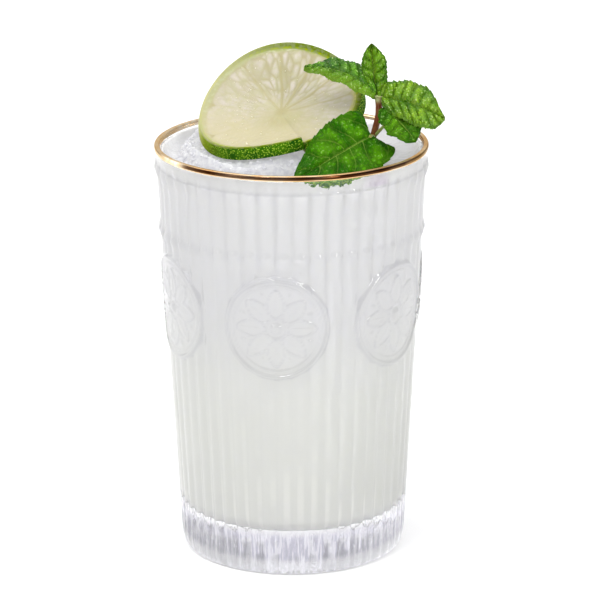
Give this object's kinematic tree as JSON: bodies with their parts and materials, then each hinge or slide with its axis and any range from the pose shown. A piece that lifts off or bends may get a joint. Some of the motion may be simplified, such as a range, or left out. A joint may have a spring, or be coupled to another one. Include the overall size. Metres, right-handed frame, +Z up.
{
  "type": "lemon soda in a highball glass",
  "caption": "Cloudy citrus soda over crushed ice in a ribbed pressed highball glass with a gilded lip, garnished with a leaning lime wheel and a mint sprig.",
  "frame": {"origin": "middle of the glass's flat underside, where it stands on the table", "axes": "+Z up along the glass's axis, +Y away from the drinker, +X to the drinker's right"},
  "size_m": [0.0864, 0.082, 0.1551],
  "materials": {
    "pressed_glass": "clear pressed glass, slightly wavy",
    "gilding": "worn bright gilding on the lip",
    "soda": "cloudy pale citrus drink",
    "ice": "wet crushed ice",
    "lime": "wet cut fruit with a glossy dimpled rind",
    "mint": "fresh veined leaf with a soft sheen"
  },
  "bodies": {
    "root": {"glass": "pressed_glass", "gold_rim": "gilding", "drink": "soda", "crushed_ice": "ice", "lime_slice": "lime", "mint_sprig": "mint"}
  },
  "joints": []
}
